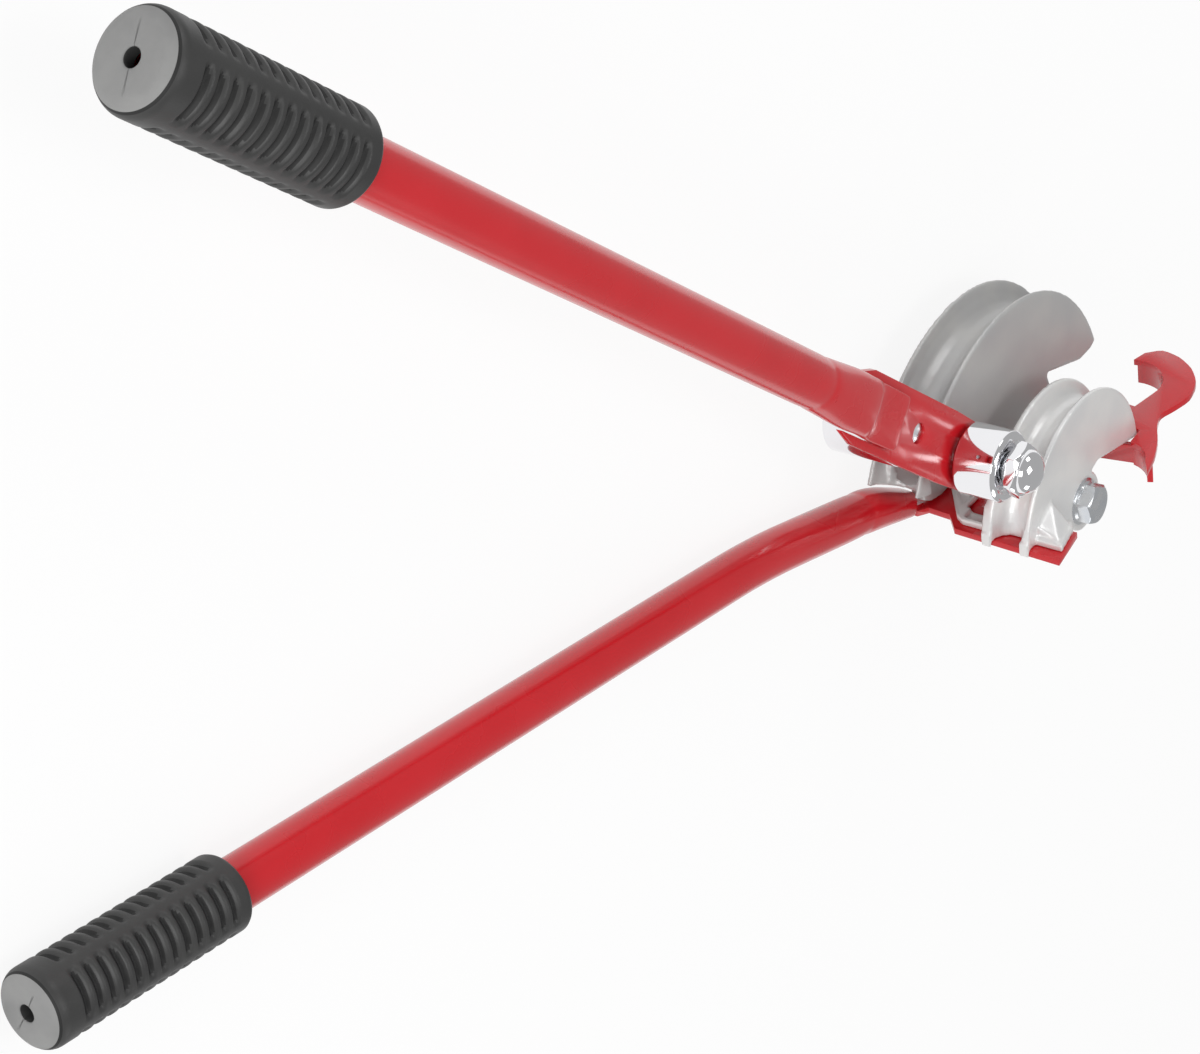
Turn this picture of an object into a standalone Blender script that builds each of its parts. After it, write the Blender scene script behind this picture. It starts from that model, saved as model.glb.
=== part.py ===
# Two-handled tube bender with a large and a small former on one pivot bolt.
# X runs from the pivot towards the tube hook, Y from the base plate towards
# the tops of the formers, and Z along the pivot bolt towards its head.
# The origin is the middle of the pivot bolt's end face. Lengths are in metres.
import math

import bmesh
import bpy
from mathutils import Vector

# Clearances
fit_gap = 0.0003
running_gap = 0.0003
overrun = 0.004
weld_distance = 0.000001

# Tubes that the tool bends
large_tube = 0.022
small_tube = 0.015
large_bend_r = 0.088
small_bend_r = 0.052

# Formers
large_flange = 0.002
large_rim_over = 0.0013
large_rim_start = 17.5
large_rim_end = 152.0
large_web = 0.007
large_wall = 0.007
large_leg = 0.0138
large_leg_height = 0.020
large_rib = 0.006
large_hub_r = 0.0145
small_groove_clear = 0.0005
small_flange = 0.0027
small_rim_over = 0.0004
small_rim_start = 3.0
small_hub_r = 0.014
small_hub_recess = 0.001

# Pivot bolt, nut and washer
pivot_r = 0.005
pivot_stickout = 0.0039
pivot_nut_height = 0.010
pivot_nut_flats = 0.017
pivot_washer_r = 0.0115
pivot_washer_thick = 0.0025
pivot_flange_r = 0.011
pivot_flange_thick = 0.0017
pivot_head_flats = 0.017
pivot_head_height = 0.0061
bush_r = 0.008
spacer_r = 0.012
spacer_back = 0.007
spacer_front = 0.0046

# Base plate and hook
plate_thick = 0.003
plate_top = 0.006
strip_outer = 0.051
strip_inner = 0.0295
strip_front = 0.0437
bar_end = 0.0705
bridge_inner = 0.062
lug_r = 0.014
lug_half = 0.024
mouth_r = 0.018
mouth_x = 0.0875
mouth_z = 0.0049
small_mouth_r = 0.0163
small_mouth_x = 0.027
small_mouth_z = 0.028
mouth_wall = 0.003
mouth_depth = 0.012
mouth_foot = 0.0135
mouth_foot_rise = 0.0025
notch_clear = 0.001
tongue_width = 0.009
tongue_length = 0.024
tongue_root = 0.0442
tongue_offset = 0.0023
tongue_heel = 0.006
tongue_lift = 0.003

# Tray under the small former
tray_floor = 0.0012
tray_rim = 0.0025
tray_rim_height = 0.0034
tray_margin = 0.0055
tray_slant = 0.015
tray_cut = 0.036
wedge_rise = 0.009
foot_extra = 0.0026
foot_deep = 0.0065
foot_start = 156.0
wedge_width = 0.013
screw_r = 0.003
screw_head_r = 0.0055
screw_head = 0.003
screw_bite = 0.012
screw_share = 0.69

# Arm
arm_angle = 136.0
arm_thick = 0.003
arm_half_width = 0.016
arm_eye_r = 0.0125
arm_full_x = 0.095
arm_end_x = 0.188
arm_corner = 0.006
arm_slot_x = 0.160
arm_slot_clear = 0.0013

# Rollers
roller_r = 0.016
roller_chamfer = 0.0012
roller_axle_r = 0.006
small_roller_length = 0.0208
large_roller_length = 0.034
large_roller_play = 0.009
axle_head_r = 0.0085
axle_head = 0.004
axle_spacer = 0.001
axle_spacer_r = 0.009
rivet_r = 0.0044
rivet_sink = 0.001
cap_nut_flats = 0.022
cap_nut_base = 0.006
cap_nut_dome_r = 0.0105
cap_nut_dome = 0.007
cap_nut_grip = 0.005

# Handles
moving_r = 0.011
fixed_r = 0.010
tube_wall = 0.002
moving_lift = 0.0025
moving_flat_x = 0.146
moving_grip_length = 0.0955
moving_grip_end_x = 0.6355
flat_half = 0.0018
fixed_end_half = 0.007
fixed_end_up = 0.0064
fixed_end_drop = 0.0046
fixed_end_start = 0.0015
fixed_line_up = 0.0109
fixed_rise = 19.62
fixed_line = 166.34
fixed_stretch = 0.1237
fixed_length = 0.4136
fixed_grip_length = 0.0886
bend_half = 0.020
moving_grip_r = 0.0165
fixed_grip_r = 0.0145
rib_depth = 0.0018
rib_pitch = 0.0068
grip_collar = 0.006
grip_end_wall = 0.005
grip_end_round = 0.005
grip_hole_r = 0.0032

# Levels along the pivot, stacked from the bolt's end face
channel_back = pivot_stickout + pivot_nut_height + pivot_washer_thick + 2 * fit_gap
large_width = large_tube + 2 * large_flange
large_back = channel_back
large_front = large_back + large_width
channel_front = channel_back + large_width
arm_back = channel_front + spacer_back + 2 * fit_gap
arm_front = arm_back + arm_thick
small_back = arm_front + spacer_front + 2 * fit_gap
small_groove_r = small_tube / 2 + small_groove_clear
small_width = 2 * (small_groove_r + small_flange)
small_front = small_back + small_width
small_hub_front = small_front - small_hub_recess
large_mid = (large_back + large_front) / 2
small_mid = (small_back + small_front) / 2
arm_mid = (arm_back + arm_front) / 2
gap_mid = (channel_front + small_back) / 2
fixed_z = channel_back - tongue_offset
seat = plate_top + fit_gap
large_rim_r = large_bend_r + large_rim_over
small_rim_r = small_bend_r + small_rim_over
small_roller_x = small_bend_r + small_tube / 2 + roller_r
large_roller_x = large_bend_r + large_tube / 2 + roller_r + large_roller_play
moving_z = arm_front + moving_lift
bolt_hole_r = pivot_r + fit_gap
screw_x = screw_share * small_bend_r
moving_grip_x = moving_grip_end_x - moving_grip_length


def start_scene():
    for old in list(bpy.data.objects):
        bpy.data.objects.remove(old, do_unlink=True)
    parts = bpy.data.collections.new("tube_bender")
    cutters = bpy.data.collections.new("cutters")
    bpy.context.scene.collection.children.link(parts)
    bpy.context.scene.collection.children.link(cutters)
    return parts, cutters


parts_box, cutters_box = start_scene()


def new_material(name, colour, roughness, metallic):
    material = bpy.data.materials.new(name)
    material.use_nodes = True
    shader = material.node_tree.nodes["Principled BSDF"]
    shader.inputs["Base Color"].default_value = (*colour, 1.0)
    shader.inputs["Roughness"].default_value = roughness
    shader.inputs["Metallic"].default_value = metallic
    return material


red_paint = new_material("red_paint", (0.60, 0.02, 0.03), 0.25, 0.0)
cast_aluminium = new_material("cast_aluminium", (0.62, 0.62, 0.61), 0.45, 1.0)
chrome = new_material("chrome", (0.85, 0.85, 0.87), 0.08, 1.0)
zinc_steel = new_material("zinc_steel", (0.66, 0.68, 0.70), 0.3, 1.0)
black_rubber = new_material("black_rubber", (0.02, 0.02, 0.02), 0.6, 0.0)


# Meshes and how they are placed

def move_to(obj, collection):
    for owner in list(obj.users_collection):
        owner.objects.unlink(obj)
    collection.objects.link(obj)


def place(obj, parent, location, rotation=(0.0, 0.0, 0.0)):
    obj.location = location
    obj.rotation_euler = rotation
    obj.parent = parent
    return obj


def mesh_object(name, mesh):
    obj = bpy.data.objects.new(name, mesh)
    parts_box.objects.link(obj)
    return obj


def finish(obj, material, angle=35.0):
    obj.data.materials.clear()
    obj.data.materials.append(material)
    obj.data.shade_smooth()
    obj.data.set_sharp_from_angle(angle=math.radians(angle))
    return obj


def arc(centre_x, centre_y, radius, start, end, steps):
    points = []
    for step in range(steps + 1):
        turn = math.radians(start + (end - start) * step / steps)
        points.append((centre_x + radius * math.cos(turn), centre_y + radius * math.sin(turn)))
    return points


def rounded(points, corner_share=0.3):
    # Each corner between the ends gives way to three points of a short curve.
    soft = [Vector(points[0])]
    for before, here, after in zip(points, points[1:], points[2:]):
        first = Vector(here).lerp(Vector(before), corner_share)
        last = Vector(here).lerp(Vector(after), corner_share)
        soft += [first, first.lerp(last, 0.5).lerp(Vector(here), 0.5), last]
    return soft + [Vector(points[-1])]


def outline_solid(name, points, thickness):
    # A flat outline in local X and Y, with its thickness shared about local Z.
    curve = bpy.data.curves.new(name, "CURVE")
    curve.dimensions = "2D"
    curve.fill_mode = "BOTH"
    curve.extrude = thickness / 2
    spline = curve.splines.new("POLY")
    spline.points.add(len(points) - 1)
    for point, (x, y) in zip(spline.points, points):
        point.co = (x, y, 0.0, 1.0)
    spline.use_cyclic_u = True
    source = bpy.data.objects.new(name + "_outline", curve)
    cutters_box.objects.link(source)
    bpy.context.view_layer.update()
    graph = bpy.context.evaluated_depsgraph_get()
    mesh = bpy.data.meshes.new_from_object(source.evaluated_get(graph))
    matrix = source.matrix_world.copy()
    bpy.data.objects.remove(source, do_unlink=True)
    weld(mesh)
    obj = mesh_object(name, mesh)
    obj.matrix_world = matrix
    return obj


def weld(mesh):
    shape = bmesh.new()
    shape.from_mesh(mesh)
    bmesh.ops.remove_doubles(shape, verts=shape.verts, dist=weld_distance)
    bmesh.ops.recalc_face_normals(shape, faces=shape.faces)
    shape.to_mesh(mesh)
    shape.free()


def cylinder(name, radius, bottom, top, sides=24):
    mesh = bpy.data.meshes.new(name)
    shape = bmesh.new()
    bmesh.ops.create_cone(shape, cap_ends=True, segments=sides, radius1=radius, radius2=radius,
                          depth=top - bottom)
    bmesh.ops.translate(shape, verts=shape.verts, vec=(0.0, 0.0, (top + bottom) / 2))
    shape.to_mesh(mesh)
    shape.free()
    return mesh_object(name, mesh)


def hexagon(name, across_flats, bottom, top):
    return cylinder(name, across_flats / math.sqrt(3.0), bottom, top, sides=6)


def block(name, low, high):
    mesh = bpy.data.meshes.new(name)
    shape = bmesh.new()
    bmesh.ops.create_cube(shape, size=1.0)
    size = Vector(high) - Vector(low)
    middle = (Vector(high) + Vector(low)) / 2
    bmesh.ops.scale(shape, verts=shape.verts, vec=size)
    bmesh.ops.translate(shape, verts=shape.verts, vec=middle)
    shape.to_mesh(mesh)
    shape.free()
    return mesh_object(name, mesh)


def turned(name, profile, steps=24, closed=False):
    # A profile of (radius, height) pairs, from the top down its outer side.
    mesh = bpy.data.meshes.new(name)
    edges = [(index, index + 1) for index in range(len(profile) - 1)]
    if closed:
        edges.append((len(profile) - 1, 0))
    mesh.from_pydata([(radius, 0.0, height) for radius, height in profile], edges, [])
    obj = mesh_object(name, mesh)
    screw = obj.modifiers.new("turn", "SCREW")
    screw.axis = "Z"
    screw.steps = steps
    screw.render_steps = steps
    screw.use_merge_vertices = True
    screw.merge_threshold = weld_distance
    screw.use_smooth_shade = False
    return obj


def ring(name, outer_r, inner_r, bottom, top, steps=24):
    profile = [(inner_r, top), (outer_r, top), (outer_r, bottom), (inner_r, bottom)]
    return turned(name, profile, steps, closed=True)


def boolean(target, other, operation="DIFFERENCE"):
    modifier = target.modifiers.new(operation.lower(), "BOOLEAN")
    modifier.operation = operation
    modifier.solver = "EXACT"
    modifier.object = other
    move_to(other, cutters_box)
    other.hide_render = True
    other.display_type = "WIRE"
    return target


def bore(target, radius, bottom, top, x=0.0, y=0.0, sides=24):
    cutter = cylinder(target.name + "_bore", radius, bottom, top, sides)
    place(cutter, target.parent, (x, y, 0.0))
    return boolean(target, cutter)


def torus_cutter(name, major_r, minor_r, height):
    bpy.ops.mesh.primitive_torus_add(major_radius=major_r, minor_radius=minor_r,
                                     major_segments=64, minor_segments=16)
    cutter = bpy.context.object
    cutter.name = name
    cutter.location = (0.0, 0.0, height)
    return cutter


# Base plate with its channel, hook, mouth walls and tongue

def from_mouth(shares):
    # Shares of the large mouth's radius, measured from its middle.
    return [(mouth_x + mouth_r * across, mouth_z + mouth_r * along) for across, along in shares]


hook_outer_shares = [(-3.50, 2.39), (-2.78, 2.26), (-2.15, 2.03), (-1.55, 1.70), (-1.07, 1.545),
                     (-0.59, 1.73), (-0.02, 1.88), (0.64, 1.755), (1.19, 1.345), (1.55, 0.82),
                     (1.69, 0.26), (1.38, -0.105)]
# Shares of the strip's reach and of the channel's depth.
neck_shares = [(-0.78, 0.83), (-0.795, 0.50), (-0.96, 0.29)]


def plate_outline():
    # Points are in X and in Z measured from the middle of the arm's gap.
    front = channel_front - gap_mid
    back = channel_back - gap_mid
    tongue_mid = fixed_z - gap_mid
    notch_back = small_back - gap_mid - notch_clear
    notch_front = small_front - gap_mid + notch_clear
    notch_x = small_rim_r + notch_clear
    points = [(-strip_outer, strip_front), (-strip_inner, strip_front - tray_rim),
              (-strip_inner, front), (bridge_inner, front), (bridge_inner, notch_back),
              (notch_x, notch_back), (notch_x, notch_front - notch_clear),
              (notch_x - notch_clear, notch_front)]
    points += arc(small_mouth_x, small_mouth_z, small_mouth_r, 9.0, 72.0, 6)
    points += rounded(from_mouth(hook_outer_shares))
    points += arc(mouth_x, mouth_z, mouth_r, -13.0, 106.0, 12)
    points += [(mouth_x - mouth_r, mouth_z + 0.8 * mouth_r), (bar_end, 0.6 * mouth_r),
               (bar_end, back), (-strip_inner, back),
               (-strip_inner - plate_thick, tongue_mid - tongue_width / 2),
               (-tongue_root, tongue_mid - tongue_width / 2),
               (-tongue_root, tongue_mid + tongue_width / 2)]
    points += [(across * strip_outer, along * back) for across, along in neck_shares]
    points.append((-strip_outer + plate_thick / 2, plate_thick))
    return points


def mouth_wall_solid(name, x, z, radius, start, end, steps):
    points = arc(x, z, radius + fit_gap, start, end, steps)
    points += arc(x, z, radius + mouth_wall, end, start, steps)
    wall = outline_solid(name, points, mouth_depth)
    middle = plate_top - plate_thick / 3 - mouth_depth / 2
    return place(wall, None, (0.0, middle, gap_mid), (math.pi / 2, 0.0, 0.0))


def mouth_foot_solid():
    # The small mouth's inner wall, carried on under the small former.
    near = small_mouth_x + small_mouth_r + fit_gap
    root = small_mouth_z + 2 * mouth_wall
    foot = small_mouth_z - mouth_foot
    points = [(near, root), (near + mouth_wall, root), (near, foot), (near - mouth_wall, foot)]
    height = mouth_depth - mouth_foot_rise
    solid = outline_solid("small_mouth_foot", points, height)
    top = plate_top - mouth_foot_rise
    return place(solid, None, (0.0, top - height / 2, gap_mid), (math.pi / 2, 0.0, 0.0))


def lug_solid(name, middle):
    points = arc(0.0, 0.0, lug_r, -170.0, -10.0, 12)
    points += [(lug_half, plate_top - plate_thick / 2), (-lug_half, plate_top - plate_thick / 2)]
    lug = outline_solid(name, points, plate_thick)
    return place(lug, None, (0.0, 0.0, middle))


def base_plate():
    plate = outline_solid("base_plate", plate_outline(), plate_thick)
    place(plate, None, (0.0, plate_top - plate_thick / 2, gap_mid), (math.pi / 2, 0.0, 0.0))
    window_half = large_hub_r + fit_gap
    window = block("hub_window",
                   (-window_half, plate_top - plate_thick - overrun, channel_back + plate_thick),
                   (window_half, plate_top + overrun, channel_front - plate_thick))
    boolean(plate, window)
    boolean(plate, lug_solid("front_lug", channel_front - plate_thick / 2), "UNION")
    boolean(plate, lug_solid("back_lug", channel_back + plate_thick / 2), "UNION")
    boolean(plate, mouth_wall_solid("mouth_wall", mouth_x, mouth_z, mouth_r, -8.0, 100.0, 11), "UNION")
    boolean(plate, mouth_wall_solid("small_mouth_wall", small_mouth_x, small_mouth_z,
                                    small_mouth_r, 12.0, 68.0, 6), "UNION")
    boolean(plate, mouth_foot_solid(), "UNION")
    tongue = block("tongue", (-tongue_heel, -plate_thick / 2, -tongue_width / 2),
                   (tongue_length, plate_thick / 2, tongue_width / 2))
    place(tongue, None, tongue_spot(), (0.0, 0.0, math.radians(180.0 - fixed_rise)))
    boolean(plate, tongue, "UNION")
    bore(plate, bolt_hole_r, channel_back - overrun, channel_front + overrun)
    for spot in screw_spots():
        hole = cylinder("screw_hole", screw_r + fit_gap, -overrun, plate_thick + overrun, 16)
        place(hole, None, (-screw_x, plate_top - plate_thick, spot), (-math.pi / 2, 0.0, 0.0))
        boolean(plate, hole)
    return finish(plate, red_paint)


def tongue_spot():
    return (-tongue_root, plate_top - plate_thick / 2 + tongue_lift, fixed_z)


def screw_spots():
    reach = small_width / 3
    return [small_mid - reach, small_mid + reach]


# Large former

# Shares of the large rim's radius along the web that runs out to the rim's start.
large_rib_shares = [0.43, 0.78, 0.90]


def large_former():
    rim = arc(0.0, 0.0, large_rim_r, large_rim_start, large_rim_end, 24)
    end_x, end_y = rim[-1]
    leg_x = end_x + large_leg * math.cos(math.radians(24.0))
    leg_y = end_y - large_leg * math.sin(math.radians(24.0))
    foot_x = large_hub_r + large_wall
    start_x, start_y = rim[0]
    points = rim + [(leg_x, leg_y), (leg_x + large_flange, leg_y + large_leg_height),
                    (leg_x + large_leg, leg_y + large_leg_height + large_wall),
                    (-foot_x - large_wall, leg_y + large_wall), (-foot_x, seat + large_wall),
                    (-foot_x, seat), (bridge_inner - large_leg, seat),
                    (large_rib_shares[0] * large_rim_r, leg_y),
                    (large_rib_shares[1] * large_rim_r, start_y - large_flange),
                    (large_rib_shares[2] * large_rim_r, start_y - large_flange)]
    former = outline_solid("large_former", points, large_width)
    place(former, None, (0.0, 0.0, large_mid))
    groove = torus_cutter("large_groove", large_bend_r, large_tube / 2, large_mid)
    boolean(former, groove)
    hub_back = channel_back + plate_thick + fit_gap
    hub_front = channel_front - plate_thick - fit_gap
    hub = cylinder("large_hub", large_hub_r, hub_back, hub_front)
    boolean(former, hub, "UNION")
    neck = block("hub_neck", (-large_hub_r, 0.0, hub_back),
                 (large_hub_r, seat + large_wall, hub_front))
    boolean(former, neck, "UNION")
    bottom_r = large_bend_r - large_tube / 2 - large_wall
    inner_r = large_hub_r + large_wall
    for number, (start, end) in enumerate(((38.0, 84.0), (92.0, 138.0))):
        pocket_points = arc(0.0, 0.0, bottom_r, start, end, 9)
        pocket_points += arc(0.0, 0.0, inner_r + large_rib, end - 6.0, start + 6.0, 5)
        depth = large_width - large_web + overrun
        pocket = outline_solid("pocket_" + str(number), pocket_points, depth)
        place(pocket, None, (0.0, 0.0, large_back - overrun + depth / 2))
        boolean(former, pocket)
    bore(former, bolt_hole_r, channel_back - overrun, channel_front + overrun)
    return finish(former, cast_aluminium)


# Small former with its hub and tray

def tray_outline():
    # Points in X and in Z measured from the middle of the arm's gap.
    outer = strip_outer - tray_margin
    front = strip_front - tray_rim / 2
    slant_front = channel_front - gap_mid - tray_rim
    slant_back = slant_front - tray_slant
    edge = large_hub_r + large_wall + tray_rim
    return [(-outer, front), (-strip_inner - fit_gap, front - tray_rim),
            (-strip_inner - fit_gap, small_back - gap_mid), (-tray_cut, small_back - gap_mid),
            (-tray_cut, slant_front), (-edge, slant_front), (-edge, slant_back),
            (-outer + tray_rim, slant_front - tray_rim / 2), (-outer, slant_front + tray_rim)]


def tray_pocket(name, points):
    depth = tray_rim_height - tray_floor + overrun
    pocket = outline_solid(name, points, depth)
    return place(pocket, None, (0.0, seat + tray_floor + depth / 2, gap_mid), (math.pi / 2, 0.0, 0.0))


def tray_solid():
    tray = outline_solid("tray", tray_outline(), tray_rim_height)
    place(tray, None, (0.0, seat + tray_rim_height / 2, gap_mid), (math.pi / 2, 0.0, 0.0))
    outer = -strip_outer + tray_margin + tray_rim
    former_back = small_back - gap_mid
    large_face = channel_front - gap_mid
    boolean(tray, tray_pocket("arm_bay", [(outer, large_face), (outer, former_back + fit_gap),
                                          (-tray_cut + overrun, former_back + fit_gap),
                                          (-tray_cut + overrun, large_face)]))
    inner = -large_hub_r - large_wall - 2 * tray_rim
    wall = large_face - 2 * tray_rim
    boolean(tray, tray_pocket("back_pocket", [(inner, wall), (inner, wall - tray_slant / 2),
                                              (-tray_cut - fit_gap, wall)]))
    former_front = small_front - gap_mid
    pocket_front = strip_front - 1.5 * tray_rim
    boolean(tray, tray_pocket("front_pocket", [(outer, former_front + tray_rim),
                                               (outer, pocket_front),
                                               (-strip_inner - tray_rim, pocket_front),
                                               (-strip_inner - tray_rim, former_front + tray_rim)]))
    return tray


# Shares of the small hub's radius.
small_shoulder_shares = [(1.04, 0.95)]


def small_former():
    rim_end = 180.0 - math.degrees(math.asin(seat / small_rim_r))
    points = arc(0.0, 0.0, small_rim_r, small_rim_start, rim_end, 31)
    points += [(-strip_inner, seat)]
    points += arc(0.0, 0.0, small_hub_r, 190.0, 415.0, 18)
    points += [(across * small_hub_r, up * small_hub_r) for across, up in small_shoulder_shares]
    former = outline_solid("small_former", points, small_width)
    place(former, None, (0.0, 0.0, small_mid))
    boolean(former, tray_solid(), "UNION")
    reach = strip_front - 1.5 * tray_rim - (small_front - gap_mid)
    wedge_points = [(overrun, tray_floor / 2), (-reach, tray_floor / 2), (overrun, wedge_rise)]
    wedge = outline_solid("front_wedge", wedge_points, wedge_width)
    place(wedge, None, (-tray_cut, seat, small_front), (0.0, math.pi / 2, 0.0))
    boolean(former, wedge, "UNION")
    foot_points = arc(0.0, 0.0, small_rim_r - fit_gap, foot_start, rim_end - fit_gap, 6)
    foot_points += [(-small_rim_r + foot_deep, seat + fit_gap)]
    foot_points += arc(0.0, 0.0, small_rim_r - foot_deep, rim_end - 1.5, foot_start + 1.5, 5)
    foot = outline_solid("back_foot", foot_points, small_flange / 2 + foot_extra)
    place(foot, None, (0.0, 0.0, small_back + (small_flange / 2 - foot_extra) / 2))
    boolean(former, foot, "UNION")
    boolean(former, torus_cutter("small_groove", small_bend_r, small_groove_r, small_mid))
    recess = cylinder("hub_recess", small_hub_r - tray_rim, small_hub_front,
                      small_front + overrun)
    boolean(former, recess)
    bore(former, bolt_hole_r, small_back - overrun, small_front + overrun)
    for spot in screw_spots():
        hole = cylinder("screw_seat", screw_r + fit_gap, -overrun, screw_bite + fit_gap, 16)
        place(hole, None, (-screw_x, seat, spot), (-math.pi / 2, 0.0, 0.0))
        boolean(former, hole)
    return finish(former, cast_aluminium)


def former_screws():
    for number, spot in enumerate(screw_spots()):
        top = screw_bite + plate_thick + fit_gap
        profile = [(0.0, top), (screw_r, top), (screw_r, -fit_gap), (screw_head_r, -fit_gap),
                   (screw_head_r - fit_gap, -screw_head), (0.0, -screw_head)]
        screw = turned("small_former_screw_" + str(number + 1), profile, 16)
        place(screw, None, (-screw_x, plate_top - plate_thick, spot), (-math.pi / 2, 0.0, 0.0))
        finish(screw, zinc_steel)


# Pivot bolt, bush, spacers, washer and nut

def pivot_hardware():
    underside = small_hub_front + fit_gap
    flange_top = underside + pivot_flange_thick
    head_top = flange_top + pivot_head_height
    profile = [(0.0, flange_top + pivot_head_height / 2), (pivot_head_flats / 4, flange_top
               + pivot_head_height / 2), (pivot_head_flats / 4, flange_top),
               (pivot_flange_r - fit_gap, flange_top), (pivot_flange_r, underside),
               (pivot_r, underside), (pivot_r, 0.0), (0.0, 0.0)]
    bolt = turned("pivot_bolt", profile)
    head = hexagon("pivot_head", pivot_head_flats, flange_top - pivot_flange_thick / 2, head_top)
    boolean(bolt, head, "UNION")
    finish(bolt, zinc_steel)
    nut_bottom = pivot_stickout
    nut = hexagon("pivot_nut", pivot_nut_flats, nut_bottom, nut_bottom + pivot_nut_height)
    bore(nut, bolt_hole_r, nut_bottom - overrun, nut_bottom + pivot_nut_height + overrun)
    finish(nut, zinc_steel)
    washer_bottom = nut_bottom + pivot_nut_height + fit_gap
    washer = ring("pivot_washer", pivot_washer_r, bolt_hole_r, washer_bottom,
                  washer_bottom + pivot_washer_thick)
    finish(washer, zinc_steel)
    bush = ring("pivot_bush", bush_r, bolt_hole_r, channel_front + fit_gap, small_back - fit_gap)
    finish(bush, zinc_steel)
    back = ring("arm_spacer_back", spacer_r, bush_r + running_gap, channel_front + fit_gap,
                channel_front + fit_gap + spacer_back)
    finish(back, zinc_steel)
    front = ring("arm_spacer_front", spacer_r, bush_r + running_gap, arm_front + fit_gap,
                 arm_front + fit_gap + spacer_front)
    finish(front, zinc_steel)


# Arm bracket, with the pivot eye at its origin and its length along X

def arm_outline():
    points = arc(0.0, 0.0, arm_eye_r, 100.0, 260.0, 12)
    full = arm_half_width
    slot = moving_r + arm_slot_clear
    points += [(arm_full_x, -full), (arm_end_x - 2 * arm_corner, -full), (arm_end_x, -slot - fit_gap),
               (arm_end_x, -slot), (arm_slot_x, -slot), (arm_slot_x, slot), (arm_end_x, slot),
               (arm_end_x, slot + fit_gap), (arm_end_x - 2 * arm_corner, full), (arm_full_x, full)]
    return points


def arm_bracket(axis):
    bracket = outline_solid("arm_bracket", arm_outline(), arm_thick)
    place(bracket, axis, (0.0, 0.0, arm_mid))
    bore(bracket, bush_r + running_gap, -overrun, overrun)
    bore(bracket, roller_axle_r + fit_gap, -overrun, overrun, x=small_roller_x)
    bore(bracket, rivet_r + fit_gap, -overrun, overrun, x=large_roller_x)
    for modifier in bracket.modifiers:
        modifier.object.location.z = arm_mid
    return finish(bracket, red_paint)


def roller(name, axis, x, bottom, length):
    top = bottom + length
    hole_r = roller_axle_r + running_gap
    profile = [(hole_r, top), (roller_r - roller_chamfer, top), (roller_r, top - roller_chamfer),
               (roller_r, bottom + roller_chamfer), (roller_r - roller_chamfer, bottom),
               (hole_r, bottom)]
    obj = turned(name, profile, 32, closed=True)
    place(obj, axis, (x, 0.0, 0.0))
    return finish(obj, chrome)


def small_roller_set(axis):
    spacer_top = arm_front + fit_gap + axle_spacer
    spacer = ring("small_roller_spacer", axle_spacer_r, roller_axle_r + fit_gap,
                  arm_front + fit_gap, spacer_top)
    finish(place(spacer, axis, (small_roller_x, 0.0, 0.0)), zinc_steel)
    roller_bottom = spacer_top + fit_gap
    roller("small_roller", axis, small_roller_x, roller_bottom, small_roller_length)
    washer_bottom = roller_bottom + small_roller_length + fit_gap
    washer = ring("small_roller_washer", axle_spacer_r, roller_axle_r + fit_gap, washer_bottom,
                  washer_bottom + axle_spacer)
    finish(place(washer, axis, (small_roller_x, 0.0, 0.0)), chrome)
    nut_bottom = washer_bottom + axle_spacer + fit_gap
    nut_mid = nut_bottom + cap_nut_base
    dome = arc(0.0, 0.0, 1.0, 90.0, 0.0, 6)
    profile = [(cap_nut_dome_r * across, nut_mid + cap_nut_dome * up) for across, up in dome]
    profile[0] = (0.0, nut_mid + cap_nut_dome)
    profile += [(cap_nut_dome_r, nut_bottom + cap_nut_base / 2), (0.0, nut_bottom + cap_nut_base / 2)]
    nut = turned("small_roller_cap_nut", profile, 24)
    place(nut, axis, (small_roller_x, 0.0, 0.0))
    base = hexagon("cap_nut_base", cap_nut_flats, nut_bottom, nut_mid)
    boolean(nut, place(base, axis, (small_roller_x, 0.0, 0.0)), "UNION")
    bore(nut, roller_axle_r + fit_gap, nut_bottom - overrun, nut_bottom + cap_nut_grip + fit_gap,
         x=small_roller_x)
    finish(nut, chrome)
    head_top = arm_back - fit_gap
    tip = nut_bottom + cap_nut_grip
    profile = [(0.0, tip), (roller_axle_r, tip), (roller_axle_r, head_top), (axle_head_r, head_top),
               (axle_head_r - roller_chamfer, head_top - axle_head), (0.0, head_top - axle_head)]
    bolt = turned("small_roller_bolt", profile, 24)
    finish(place(bolt, axis, (small_roller_x, 0.0, 0.0)), zinc_steel)


def large_roller_set(axis):
    spacer_top = arm_back - fit_gap
    spacer = ring("large_roller_spacer", axle_spacer_r, roller_axle_r + fit_gap,
                  spacer_top - axle_spacer, spacer_top)
    finish(place(spacer, axis, (large_roller_x, 0.0, 0.0)), zinc_steel)
    roller_top = spacer_top - axle_spacer - fit_gap
    roller_bottom = roller_top - large_roller_length
    roller("large_roller", axis, large_roller_x, roller_bottom, large_roller_length)
    head_top = roller_bottom - fit_gap
    rivet_top = arm_front - rivet_sink
    profile = [(0.0, rivet_top), (rivet_r, rivet_top), (rivet_r, spacer_top),
               (roller_axle_r, spacer_top), (roller_axle_r, head_top), (axle_head_r, head_top),
               (axle_head_r, head_top - arm_thick), (0.0, head_top - arm_thick)]
    axle = turned("large_roller_axle", profile, 24)
    finish(place(axle, axis, (large_roller_x, 0.0, 0.0)), zinc_steel)


# Handle tubes, lofted because their ends are squashed flat

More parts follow.
